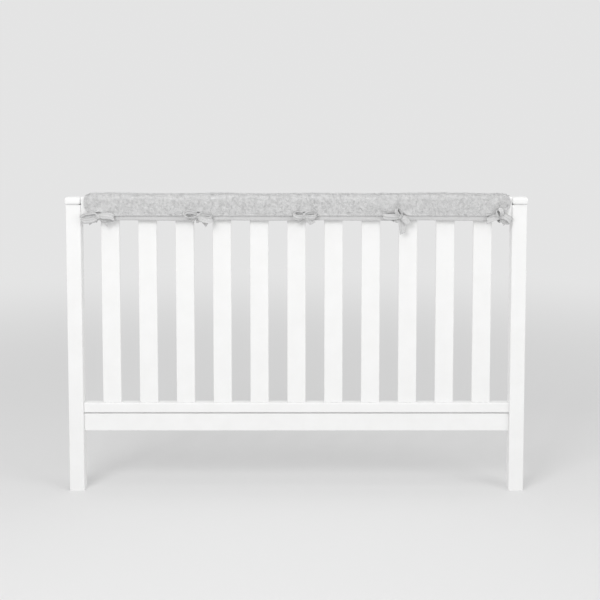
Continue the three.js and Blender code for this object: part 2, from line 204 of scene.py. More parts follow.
rail_finish = lacquered_pine("lacquered_pine_along_rails", (GRAIN_ALONG, 1, 1))
upright_finish = lacquered_pine("lacquered_pine_along_uprights", (1, 1, GRAIN_ALONG))
for names, finish in [(WOOD_RAILS, rail_finish), (WOOD_UPRIGHTS, upright_finish)]:
    for name in names:
        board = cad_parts[name]
        board.data.materials.clear()
        board.data.materials.append(finish)


# The plush cover: one long cloth of short curly polyester pile over a thin wadding, folded over the top
# rail and sewn down to a strip of smooth cloth along each lower edge. Its pile stands up in swirls, its
# ends draw in a little, and the ties pinch it and draw it up. Lengths are in millimetres.
rail_low, rail_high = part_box("top_rail")
RAIL_MIDDLE_MM = 500 * (rail_low.y + rail_high.y)
RAIL_TOP_MM = 1000 * rail_high.z
RAIL_HALF_MM = 500 * (rail_high.y - rail_low.y)

COVER_LEFT, COVER_RIGHT = -650, 653
COVER_TOP, COVER_HALF_DEPTH, COVER_CORNER = 924, 26.5, 14
COVER_LOWER_EDGE, COVER_INNER_CORNER = 859.5, 7
CLEAR_OF_WOOD = 2
EDGE_THICKNESS, EDGE_TAPER = 2.6, 16  # where the padding runs out, and over what length
LOWER_EDGE_THINNED = 0.4  # the lower edges run out only this far towards that
LIP, LIP_HEIGHT, LIP_FULL = 3.2, 20, 0.6  # the inside stands out over the binding, in full to this share
CROWNING, DRAWN_END = 1.2, 60  # the swell half way down, and the length over which the ends draw in
WAY_ROUND = COVER_HALF_DEPTH - COVER_CORNER * (2 - math.pi / 2) + COVER_TOP - COVER_LOWER_EDGE

# Knots of the five bows, and how the ties draw up and pinch the cloth above them
KNOTS = [-604, -300, 23, 317, 625]
TUCK_RISE, BINDING_RISE, TUCK_PULL, TUCK_WIDTH = 12, 4, 3.4, 16
PULL_STARTS, PULL_ENDS = (-8, 10), (4, 34)  # by the height above the lower edge

# How far the ends draw in, by the way round from the middle of the top
END_INSET = [(0, 6), (24, 3), (44, 0), (54, 1), (64, 6), (74, 12), (85, 19)]

# Low swellings and dips of the worn padding: place, rise and width. They die out down the sides, by
# the share of the way down.
HUMPS = [(-560, 1.6, 60), (-430, -1.0, 50), (-235, 1.4, 45), (-90, -1.2, 60)]
HUMPS += [(60, 1.2, 40), (215, -1.3, 55), (420, 2.0, 70), (590, -1.0, 40)]
HUMPS_DIE_OUT = (0.1, 0.6)

# Creases along the rail: from, to, way round from the middle of the top, depth, width and sway
CREASE_FADE, CREASE_WAVE = 60, 70
LONG_CREASES = [
    (-640, -210, -24, 1.6, 6, 3),
    (-80, 390, -26, 1.8, 6, 3),
    (-480, 150, 2, 1.3, 7, 5),
    (230, 650, -6, 1.4, 7, 4),
    (-560, 10, 26, 1.6, 6, 3),
    (120, 600, 24, 1.5, 6, 4),
]

# Puckers that fan out above the knots: knot, start and lean along the rail, depth, reach and width.
# With no bows on it, the back has weaker ones.
PUCKER_SPREAD, PUCKERS_BEHIND = 0.12, 0.5
PUCKERS = [
    (0, -10, -0.5, 2.4, 34, 5),
    (0, 12, 0.35, 2.0, 26, 5),
    (1, -7, -0.3, 1.8, 26, 5),
    (1, 14, 0.6, 2.2, 36, 6),
    (2, -12, -0.4, 2.0, 30, 5),
    (2, 22, 0.5, 2.4, 34, 6),
    (3, -8, -0.1, 2.6, 38, 5),
    (3, 16, 0.5, 1.8, 26, 6),
    (4, -14, -0.5, 2.4, 36, 6),
    (4, 6, 0.1, 2.2, 30, 5),
]


def eased(value, start, end):
    """0 before start, 1 after end, and a smooth change between them."""
    share = np.clip((value - start) / (end - start), 0, 1)
    return share * share * (3 - 2 * share)


def bell(distance, width):
    """1 in the middle, and less to both sides."""
    return np.exp(-((distance / width) ** 2))


def drawn_in(x):
    """How strongly the ties draw on the cover at a place along the rail."""
    return np.minimum(1, sum(bell(x - knot, TUCK_WIDTH) for knot in KNOTS))


def hugging(side, share, half_depth, top, corner, bottom):
    """A point of an outline that hugs the rail, and the way it faces."""
    flat = half_depth - corner
    turn = corner * math.pi / 2
    drop = top - corner - COVER_LOWER_EDGE
    at = share * (flat + turn + drop)
    angle = np.clip((at - flat) / corner, 0, math.pi / 2)
    down = np.clip((at - flat - turn) / drop, 0, 1)
    y = side * (np.minimum(at, flat) + corner * np.sin(angle))
    z = top - corner + corner * np.cos(angle) + (bottom - top + corner) * down
    return y, z, side * np.sin(angle), np.cos(angle)


def padding_relief(x, side, way, z):
    """How far the padding stands in or out from its plain outline."""
    down = np.clip((COVER_TOP - z) / (COVER_TOP - COVER_LOWER_EDGE), 0, 1)
    out = CROWNING * np.sin(math.pi * down)
    for at, rise, width in HUMPS:
        out = out + rise * bell(x - at, width) * (1 - eased(down, *HUMPS_DIE_OUT))
    for start, end, line, depth, width, sway in LONG_CREASES:
        along = eased(x, start, start + CREASE_FADE) * (1 - eased(x, end - CREASE_FADE, end))
        middle = line + sway * np.sin((x - start) / CREASE_WAVE)
        out = out - depth * along * bell(side * way - middle, width)
    above = z - COVER_LOWER_EDGE
    pulled = np.where(side < 0, 1, PUCKERS_BEHIND)
    for knot, start, lean, depth, reach, width in PUCKERS:
        line = KNOTS[knot] + start + lean * above
        out = out - pulled * depth * bell(x - line, width + PUCKER_SPREAD * above) * bell(above, reach)
    return out


def end_inset(way):
    """How far the ends are drawn in at a way round from the middle of the top."""
    inset = END_INSET[0][1]
    for (start, low), (end, high) in zip(END_INSET, END_INSET[1:]):
        inset = inset + (high - low) * eased(way, start, end)
    return inset


def cover_points(x, way):
    """Outside and inside points of the cover. way runs round it, from the front edge to the back one."""
    side = np.where(way < 0, -1, 1)
    share = abs(way) / WAY_ROUND
    draw = end_inset(abs(way))
    from_left, from_right = x - COVER_LEFT, COVER_RIGHT - x
    at_x = x + draw * (eased(from_right, 0, DRAWN_END) - eased(from_left, 0, DRAWN_END))
    drawn = drawn_in(at_x)
    bottom = COVER_LOWER_EDGE + TUCK_RISE * drawn
    y, z, facing_y, facing_z = hugging(side, share, COVER_HALF_DEPTH, COVER_TOP, COVER_CORNER, bottom)
    inner_y, inner_z, _, _ = hugging(
        side,
        share,
        RAIL_HALF_MM + CLEAR_OF_WOOD,
        RAIL_TOP_MM + CLEAR_OF_WOOD,
        COVER_INNER_CORNER,
        bottom,
    )
    above_edge = z - bottom
    inner_y = inner_y + side * LIP * (1 - eased(above_edge, LIP_HEIGHT * LIP_FULL, LIP_HEIGHT))
    full = np.hypot(y - inner_y, z - inner_z)
    edge = (1 - eased(above_edge, 0, EDGE_TAPER)) * LOWER_EDGE_THINNED
    end = 1 - eased(np.minimum(from_left, from_right), 0, EDGE_TAPER)
    thin = np.maximum(edge, end)
    out = padding_relief(at_x, side, abs(way), z)
    out = out - TUCK_PULL * drawn * (1 - eased(above_edge, *PULL_ENDS)) * eased(above_edge, *PULL_STARTS)
    out = out * (1 - thin) - np.maximum(0, full - EDGE_THICKNESS) * thin
    outer = np.stack(np.broadcast_arrays(at_x, y + facing_y * out, z + facing_z * out), -1)
    return outer, np.stack(np.broadcast_arrays(at_x, inner_y, inner_z), -1)


FIELD_LENGTH, FIELD_WIDTH = 1500, 260  # of the random patterns, which reach past the cloth


def wander(x, y, patch, seed):
    """Smooth random values from -1 to 1 over the cloth, in patches of the given size."""
    cells = (int(FIELD_LENGTH / patch) + 4, int(FIELD_WIDTH / patch) + 4)
    lattice = np.random.default_rng(seed).uniform(-1, 1, cells)
    u, v = (x + FIELD_LENGTH / 2) / patch, (y + FIELD_WIDTH / 2) / patch
    i, j = np.floor(u).astype(int), np.floor(v).astype(int)
    a, b = eased(u - i, 0, 1), eased(v - j, 0, 1)
    near = lattice[i, j] * (1 - a) + lattice[i + 1, j] * a
    far = lattice[i, j + 1] * (1 - a) + lattice[i + 1, j + 1] * a
    return near * (1 - b) + far * b


# The pile's lie. Swirls turn it, each by an angle, in patches of a size and with a seed of its own.
SWIRLS = [(2.1, 10, 11), (0.9, 5, 12)]
STREAK_REACH, STREAK_STEPS, STREAK_WIDTH, STREAK_CONTRAST = 5, 9, 2.8, 3.6
STREAK_RELIEF, CLUMP_RELIEF, CLUMP_WIDTH = 0.55, 0.45, 6
EDGE_FLATTENS, RELIEF_AT_EDGE = 8, 0.3  # within this of a sewn edge, down to this share


def pile_heading(x, way):
    """Which way the pile leans: 0 is along the rail, and a quarter turn is down from the top."""
    heading = math.pi / 2
    for turn, patch, seed in SWIRLS:
        heading = heading + turn * wander(x, way, patch, seed)
    return heading


def pile_streaks(x, way):
    """Streaks of pile some 10 mm long and 3 mm wide that follow its lie, from about -1 to 1."""
    side = np.where(way < 0, -1, 1)
    heading = pile_heading(x, way)
    total = 0
    for step in np.linspace(-STREAK_REACH, STREAK_REACH, STREAK_STEPS):
        at_x, at_way = x + step * np.cos(heading), way + step * side * np.sin(heading)
        total = total + wander(at_x, at_way, STREAK_WIDTH, 13)
    return np.clip(total / STREAK_CONTRAST, -1, 1)


def pile_relief(x, way):
    """How the matted pile swells into clumps, less so at the sewn edges."""
    fade = eased(WAY_ROUND - abs(way), 0, EDGE_FLATTENS)
    relief = STREAK_RELIEF * pile_streaks(x, way) + CLUMP_RELIEF * wander(x, way, CLUMP_WIDTH, 14)
    return relief * (RELIEF_AT_EDGE + (1 - RELIEF_AT_EDGE) * fade)


def outside_frame(x, way):
    """Points of the cover's outside with its clumps, and the ways along, round and out at each."""
    step = 0.8  # to the points on each side that give the slope
    point = cover_points(x, way)[0]
    along = cover_points(x + step, way)[0] - cover_points(x - step, way)[0]
    round_ = cover_points(x, way + step)[0] - cover_points(x, way - step)[0]
    along /= np.linalg.norm(along, axis=-1, keepdims=True)
    round_ /= np.linalg.norm(round_, axis=-1, keepdims=True)
    out = np.cross(along, round_)
    out /= np.linalg.norm(out, axis=-1, keepdims=True)
    return point + out * pile_relief(x, way)[..., None], along, round_, out


def outward(points, faces):
    """The faces of a closed skin, turned so that they point out of it."""
    points = points.reshape(-1, 3)
    a, b, c = (points[faces[:, k]] for k in (0, 1, 2))
    volume = np.einsum("ij,ij", a, np.cross(b, c))
    if faces.shape[1] == 4:
        volume += np.einsum("ij,ij", a, np.cross(c, points[faces[:, 3]]))
    return faces if volume > 0 else faces[:, ::-1]


def cloth_piece(name, points_mm, faces, finish, uv=None, normals=None):
    """A piece of the crib front from points in millimetres about the middle of its rail."""
    points = np.array(points_mm, float).reshape(-1, 3)
    points[:, 1] += RAIL_MIDDLE_MM
    mesh = bpy.data.meshes.new(name)
    faces = faces.tolist() if isinstance(faces, np.ndarray) else faces
    mesh.from_pydata((points / 1000).tolist(), [], faces)
    mesh.shade_smooth()
    if normals is not None:
        mesh.normals_split_custom_set_from_vertices(normals.reshape(-1, 3).tolist())
    if uv is not None:
        corners = np.zeros(len(mesh.loops), int)
        mesh.loops.foreach_get("vertex_index", corners)
        layer = mesh.uv_layers.new(name="cloth")
        layer.data.foreach_set("uv", np.array(uv, np.float32).reshape(-1, 2)[corners].ravel())
    mesh.materials.append(finish)
    piece = bpy.data.objects.new(name, mesh)
    bpy.context.collection.objects.link(piece)
    return piece


def skin_faces(columns, ring):
    """Quads of a closed skin: rings of points, each of an outside row and the inside row back."""
    k = np.arange(ring)
    a, b = k, (k + 1) % ring
    start = np.arange(columns - 1)[:, None] * ring
    sides = np.stack([start + a, start + a + ring, start + b + ring, start + b], -1).reshape(-1, 4)
    j = np.arange(ring // 2 - 1)
    cap = np.stack([j, j + 1, ring - 2 - j, ring - 1 - j], -1)
    return np.concatenate([sides, cap, cap[:, ::-1] + (columns - 1) * ring])


def plush_finish(name, painted_root_shade, pale, from_uv):
    """Polyester plush: soft grey pile, darker at its roots with painted shade where the tufts shade each
    other, and pale and a little glossy at its tips. from_uv takes the height up a tuft from its UV map.
    Otherwise patches of 2.4 mm stand for tufts, with painted shade between them."""
    material, tree, shader = start_finish(name)
    place = add_node(tree, "ShaderNodeTexCoord")
    if from_uv:
        split = add_node(tree, "ShaderNodeSeparateXYZ", links={"Vector": place.outputs["UV"]})
        height = split.outputs["Y"]
    else:
        height = add_node(
            tree, "ShaderNodeTexNoise", {"Scale": 420, "Detail": 3}, {"Vector": place.outputs["Object"]}
        ).outputs["Fac"]
    tint = add_node(
        tree,
        "ShaderNodeMix",
        {MIX_FIRST: linear(painted_root_shade), MIX_SECOND: linear(pale)},
        {0: height},
        data_type="RGBA",
    )
    # Yarns 1.5 mm apart
    yarns = add_node(
        tree, "ShaderNodeTexNoise", {"Scale": 650, "Detail": 2}, {"Vector": place.outputs["Object"]}
    )
    rough = add_node(
        tree, "ShaderNodeBump", {"Strength": 0.4, "Distance": 0.0006}, {"Height": yarns.outputs["Fac"]}
    )
    tree.links.new(tint.outputs[MIX_RESULT], shader.inputs["Base Color"])
    tree.links.new(rough.outputs["Normal"], shader.inputs["Normal"])
    shader.inputs["Roughness"].default_value = 0.9
    shader.inputs["Specular IOR Level"].default_value = 0.3
    shader.inputs["Sheen Weight"].default_value = 0.3
    shader.inputs["Sheen Roughness"].default_value = 0.5
    shader.inputs["Sheen Tint"].default_value = (1, 1, 1, 1)
    return material


# In both finishes the darker grey is painted shade among the roots of the tufts. The ground under the pile
# is darker still: painted shade from the tufts over it.
ground_finish = plush_finish("plush_ground_with_matted_pile", "#c5c5c5", "#e2e2e2", from_uv=False)
pile_finish = plush_finish("plush_pile", "#d9d9d9", "#f3f3f3", from_uv=True)

# Steps of 3 mm along the rail and 2.5 mm round it, fine enough for the clumps
x_rows = np.linspace(COVER_LEFT, COVER_RIGHT, 440)[:, None]
way_rows = np.linspace(-WAY_ROUND, WAY_ROUND, 69)[None, :]
outer = outside_frame(x_rows, way_rows)[0]
# The two end rows have no clumps, so that the ends close flat
outer[0], outer[-1] = cover_points(x_rows[[0, -1]], way_rows)[0]
inner = cover_points(x_rows, way_rows)[1]
ring = np.concatenate([outer, inner[:, ::-1]], 1)
out_and_back = np.concatenate([way_rows, way_rows[:, ::-1]], 1)
cloth_uv = np.stack(np.broadcast_arrays(x_rows, out_and_back), -1) / 1000
cover_body = cloth_piece(
    "plush_body", ring, outward(ring, skin_faces(*ring.shape[:2])), ground_finish, cloth_uv
)
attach(cover_body, "root")
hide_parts("plush_cover")

# The pile itself: tufts of curled yarn, most of them 2 to 4 mm long, each a slim spike that leans with
# its neighbours. Where a bow lies on the cover, it presses them flat.
TUFTS = 45000  # in each of the three fields
TOP_FIELD = 22  # the way round from the middle of the top to the fields of the sides
TUFT_ROOT, TUFT_MARGIN = 0.5, 0.5  # below the face of the cloth, and in from its ends
TUFT_LENGTH, TUFT_SPREAD, STREAK_HEIGHT = 2.7, 0.4, 0.9
TUFT_SHORTEST, TUFT_LONGEST = 1.5, 4
TUFT_NARROWEST, TUFT_WIDEST = 0.8, 1.2

# In radians: how far tufts tilt from upright, how far that and their heading vary, and how much further
# tilted they are under a bow and less on the top
TILT, TILT_SPREAD, HEADING_SPREAD, TILT_PRESSED, TILT_RAISED = 0.9, 0.25, 0.35, 0.4, 0.6
TOP_FROM, TOP_TO = 12, 24  # the top passes into the sides between these ways round

# At the ends the tufts point out along the rail. At the sewn edges their length is ragged, from nothing
# to twice RAGGED of itself.
END_FAN, END_FAN_REACH = 2.2, 9
RAGGED, RAGGED_PATCH, RAGGED_REACH = 0.7, 7, 8

# What a bow presses flat: how far along the rail and how high from the edge, and how much shorter
PRESSED_ALONG, PRESSED_UP, PRESSED_SHORTER, PRESSED_BEHIND = 34, (12, 34), 0.35, 0.2

# How the shading of a tuft turns from that of the cloth: to its lean, and at random
SHADED_TO_LEAN, SHADING_SPREAD = 0.34, 0.18


def tufts(name, count, way_from, way_to, seed):
    """A field of tufts between two ways round the cover."""
    rng = np.random.default_rng(seed)
    x = rng.uniform(COVER_LEFT + TUFT_MARGIN, COVER_RIGHT - TUFT_MARGIN, count)
    way = rng.uniform(way_from, way_to, count)
    point, along, round_, out = outside_frame(x, way)
    side = np.where(way < 0, -1, 1)
    from_edge = WAY_ROUND - abs(way)
    from_end = np.minimum(x - COVER_LEFT, COVER_RIGHT - x)
    on_top = 1 - eased(abs(way), TOP_FROM, TOP_TO)

    heading = pile_heading(x, way) + rng.normal(0, HEADING_SPREAD, count)
    fan = np.sign(x) * END_FAN * (1 - eased(from_end, 0, END_FAN_REACH))
    lean = along * (np.cos(heading) + fan)[:, None] + round_ * (side * np.sin(heading))[:, None]
    lean /= np.linalg.norm(lean, axis=1, keepdims=True)

    near_knot = np.clip(sum(bell(x - knot, PRESSED_ALONG) for knot in KNOTS), 0, 1)
    pressed = near_knot * (1 - eased(from_edge, *PRESSED_UP)) * np.where(way < 0, 1, PRESSED_BEHIND)
    length = TUFT_LENGTH + STREAK_HEIGHT * pile_streaks(x, way) + rng.normal(0, TUFT_SPREAD, count)
    length = np.clip(length, TUFT_SHORTEST, TUFT_LONGEST) * (1 - PRESSED_SHORTER * pressed)
    ragged = RAGGED + RAGGED * wander(x, way, RAGGED_PATCH, 15)
    length = length * (ragged + (1 - ragged) * eased(from_edge, 0, RAGGED_REACH))

    tilt = TILT + TILT_SPREAD * rng.normal(0, 1, count) + TILT_PRESSED * pressed - TILT_RAISED * on_top
    reach = out * np.cos(tilt)[:, None] + lean * np.sin(tilt)[:, None]
    width = rng.uniform(TUFT_NARROWEST, TUFT_WIDEST, count)
    turn = rng.uniform(0, 2 * math.pi, count)
    root = point - out * TUFT_ROOT
    corners = [root + reach * length[:, None]]
    for third in range(3):
        angle = turn + third * 2 * math.pi / 3
        foot = along * np.cos(angle)[:, None] + round_ * np.sin(angle)[:, None]
        corners.append(root + foot * width[:, None])
    points = np.stack(corners, 1)
    sides = np.array([[0, 1, 2], [0, 2, 3], [0, 3, 1], [3, 2, 1]])
    faces = (np.arange(count)[:, None, None] * 4 + sides).reshape(-1, 3)

    # Light slips in between real hairs, so a tuft is shaded as the cloth under it, turned to its lean
    soft = out + SHADED_TO_LEAN * lean + SHADING_SPREAD * rng.normal(0, 1, (count, 3))
    soft /= np.linalg.norm(soft, axis=1, keepdims=True)

    # The UV map holds the height up the tuft, 1 at its tip and 0 at its foot, which sets the painted shade
    # at its roots
    uv = np.tile([(0, 1), (0, 0), (0, 0), (0, 0)], (count, 1))
    piece = cloth_piece(name, points, faces, pile_finish, uv, np.repeat(soft[:, None], 4, 1))
    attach(piece, "root")
    return piece


pile = [
    tufts("pile_front", TUFTS, -WAY_ROUND, -TOP_FIELD, 21),
    tufts("pile_top", TUFTS, -TOP_FIELD, TOP_FIELD, 22),
    tufts("pile_back", TUFTS, TOP_FIELD, WAY_ROUND, 23),
]


# The bindings: a strip of smooth plain-woven cotton along each lower edge of the plush, hemmed at its
# lower edge with one row of small stitches. The hem puckers a little, and the ties lift it.
BINDING_THICKNESS, BINDING_THINNED = 2.2, 0.3  # thinned by this share to its upper edge
BINDING_BELLY, BELLY_WAVE, BELLY_DRAWN = 0.3, 61, 0.4
BINDING_BOTTOM, BINDING_TOP, BINDING_DIP, DIP_WAVE = 844.5, 867, 0.8, 47
BINDING_LEFT, BINDING_RIGHT = -625, 633
RISE_BELOW = 0.6  # the lower edge rises at a knot by this share of what the upper one does
HEM_UP, HEM_GROOVE, HEM_GROOVE_WIDTH = 3.5, 0.35, 1.6  # the row of stitches and the groove it draws
HEM_STITCH = 3.2  # from one stitch to the next
STITCH_HALF, STITCH_PROUD = (HEM_STITCH * 0.42, 0.28, 0.32), 0.1
HEM_START = 4  # from the binding's ends to the first and last stitch
HEM_PUCKER, PUCKER, PUCKER_PATCH, PUCKER_LEVEL = 0.22, 0.28, 7, 850
GAP = 0.3  # between pieces that touch


def binding_points(x, side, share):
    """Outside and inside points of a binding. share runs from its lower edge to its upper one."""
    drawn = drawn_in(x)
    hang = 1 - share
    belly = hang * (BINDING_BELLY * (1 + np.sin(x / BELLY_WAVE)) - BELLY_DRAWN * drawn)
    inside = RAIL_HALF_MM + CLEAR_OF_WOOD + GAP + belly
    thickness = BINDING_THICKNESS * (1 - BINDING_THINNED * share)
    z = BINDING_BOTTOM + (BINDING_TOP - BINDING_BOTTOM) * share
    z = z + BINDING_DIP * np.sin(x / DIP_WAVE) * hang
    z = z + BINDING_RISE * drawn * (RISE_BELOW + (1 - RISE_BELOW) * share)
    hem = bell(z - BINDING_BOTTOM - HEM_UP, HEM_GROOVE_WIDTH)
    # The hem puckers once for every two stitches, and its groove ends where the ties lie on it
    pucker = PUCKER * wander(x, z - PUCKER_LEVEL, PUCKER_PATCH, 31)
    pucker = pucker + HEM_PUCKER * hem * np.sin(x * 2 * math.pi / (2 * HEM_STITCH))
    outside = inside + thickness - HEM_GROOVE + pucker - HEM_GROOVE * hem * (drawn < 0.5)
    outer = np.stack(np.broadcast_arrays(x, side * outside, z), -1)
    return outer, np.stack(np.broadcast_arrays(x, side * inside, z), -1)


def woven_cotton(name, colour, pale, thread_mm):
    """Grey cotton in a plain weave: matt, with threads over and under each other along its UV map."""
    material, tree, shader = start_finish(name)
    place = add_node(tree, "ShaderNodeTexCoord")
    # A sine wave goes over one thread and under the next, so it is two threads long
    turns = 2 * math.pi * 1000 / thread_mm / 2
    split = add_node(tree, "ShaderNodeSeparateXYZ", links={"Vector": place.outputs["UV"]})
    waves = []
    for axis in ("X", "Y"):
        count = add_node(
            tree, "ShaderNodeMath", {1: turns}, {0: split.outputs[axis]}, operation="MULTIPLY"
        )
        waves.append(add_node(tree, "ShaderNodeMath", links={0: count.outputs[0]}, operation="SINE"))
    weave = add_node(
        tree, "ShaderNodeMath", links={0: waves[0].outputs[0], 1: waves[1].outputs[0]}, operation="MULTIPLY"
    )
    # Slubs and creases 5 mm across
    slubs = add_node(
        tree, "ShaderNodeTexNoise", {"Scale": 200, "Detail": 3}, {"Vector": place.outputs["Object"]}
    )
    tint = add_node(
        tree,
        "ShaderNodeMix",
        {MIX_FIRST: linear(colour), MIX_SECOND: linear(pale)},
        {0: slubs.outputs["Fac"]},
        data_type="RGBA",
    )
    threads = add_node(
        tree, "ShaderNodeBump", {"Strength": 0.35, "Distance": 0.0002}, {"Height": weave.outputs[0]}
    )
    crumple = add_node(
        tree,
        "ShaderNodeBump",
        {"Strength": 0.3, "Distance": 0.0006},
        {"Height": slubs.outputs["Fac"], "Normal": threads.outputs["Normal"]},
    )
    tree.links.new(tint.outputs[MIX_RESULT], shader.inputs["Base Color"])
    tree.links.new(crumple.outputs["Normal"], shader.inputs["Normal"])
    shader.inputs["Roughness"].default_value = 0.8
    shader.inputs["Sheen Weight"].default_value = 0.2
    shader.inputs["Sheen Roughness"].default_value = 0.4
    return material


# The real threads lie 0.3 mm apart, too fine to show, so they are drawn 0.9 mm apart
cotton_finish = woven_cotton("plain_woven_cotton", "#c6c6c6", "#d6d6d6", 0.9)

# Sewing thread spun from polyester: a little glossier than the cloth, with fine strands along it
thread_finish, tree, shader = start_finish("spun_polyester_thread")
shader.inputs["Base Color"].default_value = linear("#b5b5b5")
shader.inputs["Roughness"].default_value = 0.6
twist = add_node(tree, "ShaderNodeTexCoord")
strands = add_node(
    tree, "ShaderNodeTexNoise", {"Scale": 1800, "Detail": 1}, {"Vector": twist.outputs["Object"]}
)
strand_relief = add_node(
    tree, "ShaderNodeBump", {"Strength": 0.4, "Distance": 0.0001}, {"Height": strands.outputs["Fac"]}
)
tree.links.new(strand_relief.outputs["Normal"], shader.inputs["Normal"])

bpy.ops.object.select_all(action="DESELECT")
bpy.ops.mesh.primitive_ico_sphere_add(subdivisions=1, radius=1)
one_stitch = bpy.context.object
bpy.ops.transform.resize(value=STITCH_HALF)
bpy.ops.object.transform_apply(location=False, rotation=False, scale=True)
stitch_points = np.array([v.co for v in one_stitch.data.vertices])
stitch_faces = [list(p.vertices) for p in one_stitch.data.polygons]
bpy.data.objects.remove(one_stitch)

for name, side in [("front", -1), ("back", 1)]:
    along = np.linspace(BINDING_LEFT, BINDING_RIGHT, 480)[:, None]
    share = np.linspace(0, 1, 9)[None, :]
    outer, inner = binding_points(along, side, share if side < 0 else share[:, ::-1])
    ring = np.concatenate([outer, inner[:, ::-1]], 1)
    strip = cloth_piece(
        f"cotton_binding_{name}",
        ring,
        outward(ring, skin_faces(*ring.shape[:2])),
        cotton_finish,
        ring[..., [0, 2]] / 1000,
    )
    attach(strip, "root")
    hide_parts(f"binding_{name}")

    seam_x = np.arange(BINDING_LEFT + HEM_START, BINDING_RIGHT - HEM_START, HEM_STITCH)
    hem_share = HEM_UP / (BINDING_TOP - BINDING_BOTTOM)
    seam = binding_points(seam_x, side, np.full_like(seam_x, hem_share))[0]
    seam[:, 1] += side * STITCH_PROUD
    points, faces = [], []
    for at in seam:
        faces += [[corner + len(points) * len(stitch_points) for corner in face] for face in stitch_faces]
        points.append(stitch_points + at)
    stitches = cloth_piece(f"hem_stitches_{name}", points, faces, thread_finish)
    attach(stitches, "root")


# The ties: ten strips of the same cotton, each stitched down both edges. Five pairs are tied in bows
# before the lower edge. The tie from the back comes up from under the rail, wraps the knot and makes a
# loop and a tail, and the tie from the front makes the other loop and tail behind it.
TIE_FLAT_WIDTH, TIE_THICKNESS = 21, 1.1
TIE_WIDTH, TIE_GATHERED = 19, 13  # as creased, and where it is gathered at the knot

# How far before the rail's middle these lie: the strap that comes up, the front tie's root, the knot,
# and the face of the plush behind the loops
STRAP_BEFORE, ROOT_BEFORE, KNOT_BEFORE, PLUSH_BEFORE = 25.8, 23.9, 30.5, 26.6
KNOT_HALF = (6.2, 5.6, 8)
KNOT_TURN = math.pi * (KNOT_HALF[1] + KNOT_HALF[2])  # once round it
KNOT_ENDS, KNOT_WAIST = 0.14, 0.12  # the share of its height left at its ends, and how it narrows
KNOT_FOLD_DEPTH, KNOT_FINE_FOLD_DEPTH = 0.55, 0.3
KNOT_LEANS = (-0.2, 0.25)  # in turn from knot to knot

# Each bow: the height of its knot, where its strap passes under the rail, and how far each limb reaches
# along and up from the knot: the loop and tail of the back tie, then those of the front one. A loop
# also has half the height of its opening, how far it is rolled over to show it, in degrees, and how far
# its two layers have slipped apart along its width.
BOWS = [
    (857, -620, (-52, -7, 6, 14, 5.5), (-30, -17), (48, -3, 6, -12, -4.5), (30, -22)),
    (859, -297, (-40, 5, 7, 52, 1), (-22, -12), (43, -8, 6, 14, 4), (29, -26)),
    (858, 38, (-31, 5, 6, 32, 2.5), (27, -22), (37, 4, 5, 20, 4), (-22, -16)),
    (859, 304, (-13, 22, 6, 50, 0), (27, -25), (-53, 1, 3.5, 12, 1.5), (8, -54)),
    (857, 630, (-9, 25, 6, -46, -1), (-44, -13), (27, -14, 5, -16, -4.5), (14, -21)),
]

# The middle line of a loop: how much of its reach it has gone out, and where it lies between the hind
# layer, -1, and the front one, 1. It comes forward from the knot in the first part of its way.
LOOP_SHAPE = [(0, 0), (0.16, -0.7), (0.45, -1), (0.8, -0.95), (1, -0.1)]
LOOP_SHAPE += [(0.84, 0.85), (0.5, 1), (0.16, 0.6), (0, 0.1)]
LOOP_FORWARD = 2.5

# The free ends: how much of their reach they have gone, and how far before their root they lie there
BACK_TAIL_FALL = [(0, 0), (0.35, 0.7), (0.7, -0.1), (1, -1.1)]
FRONT_TAIL_FALL = [(0, 0), (0.3, 0.6), (0.65, 2.4), (1, 3.2)]
TAIL_ARCH, TAIL_SLANT = 0.08, 3

# A strip of tie: points across it and along it for each that its line is drawn through, and how far it
# may twist, in radians
STRIP_ROWS, STATIONS_EACH, MOST_TWIST = 19, 7, 0.4

# Its gathers, at a knot, and where they have opened, its creases and its stitched hems. The waves of a
# crease are in radians, from the middle to an edge and from end to end. A slanted end starts to slant
# at SLANT_FROM of the length.
GATHER_DEPTH, GATHERS_OPEN, GATHERS_AT_TAB = 1.6, (0.03, 0.35), 0.2
CREASE_DEPTH, CREASE_WAVES = 1.1, (3.4, 2)
FINE_CREASE_DEPTH, FINE_CREASE_WAVES = 0.9, (7, 6)
TIE_HEM, TIE_HEM_AT, TIE_HEM_WIDTH = 0.25, 0.86, 0.06
SLANT_FROM = 0.7

# The strap: its play behind the back binding, how far below that it passes, and where it is gathered
STRAP_PLAY, STRAP_UNDER, STRAP_GATHERS = 1.4, 5, 0.75


def smooth_line(points, count):
    """Evenly spaced points along a smooth line through the given ones."""
    points = np.array(points, float)
    ends = [2 * points[0] - points[1], 2 * points[-1] - points[-2]]
    p = np.concatenate([ends[:1], points, ends[1:]])
    knots = np.concatenate([[0], np.cumsum(np.linalg.norm(np.diff(p, axis=0), axis=1) ** 0.5)])
    fine = []
    for i in range(1, len(p) - 2):
        t = np.linspace(knots[i], knots[i + 1], 24, endpoint=False)[:, None]
        t0, t1, t2, t3 = knots[i - 1 : i + 3]
        a1 = (t1 - t) / (t1 - t0) * p[i - 1] + (t - t0) / (t1 - t0) * p[i]
        a2 = (t2 - t) / (t2 - t1) * p[i] + (t - t1) / (t2 - t1) * p[i + 1]
        a3 = (t3 - t) / (t3 - t2) * p[i + 1] + (t - t2) / (t3 - t2) * p[i + 2]
        b1 = (t2 - t) / (t2 - t0) * a1 + (t - t0) / (t2 - t0) * a2
        b2 = (t3 - t) / (t3 - t1) * a2 + (t - t1) / (t3 - t1) * a3
        fine.append((t2 - t) / (t2 - t1) * b1 + (t - t1) / (t2 - t1) * b2)
    fine = np.concatenate(fine + [points[-1:]])
    run = np.concatenate([[0], np.cumsum(np.linalg.norm(np.diff(fine, axis=0), axis=1))])
    even = np.linspace(0, run[-1], count)
    return np.stack([np.interp(even, run, fine[:, k]) for k in range(3)], -1), run[-1]


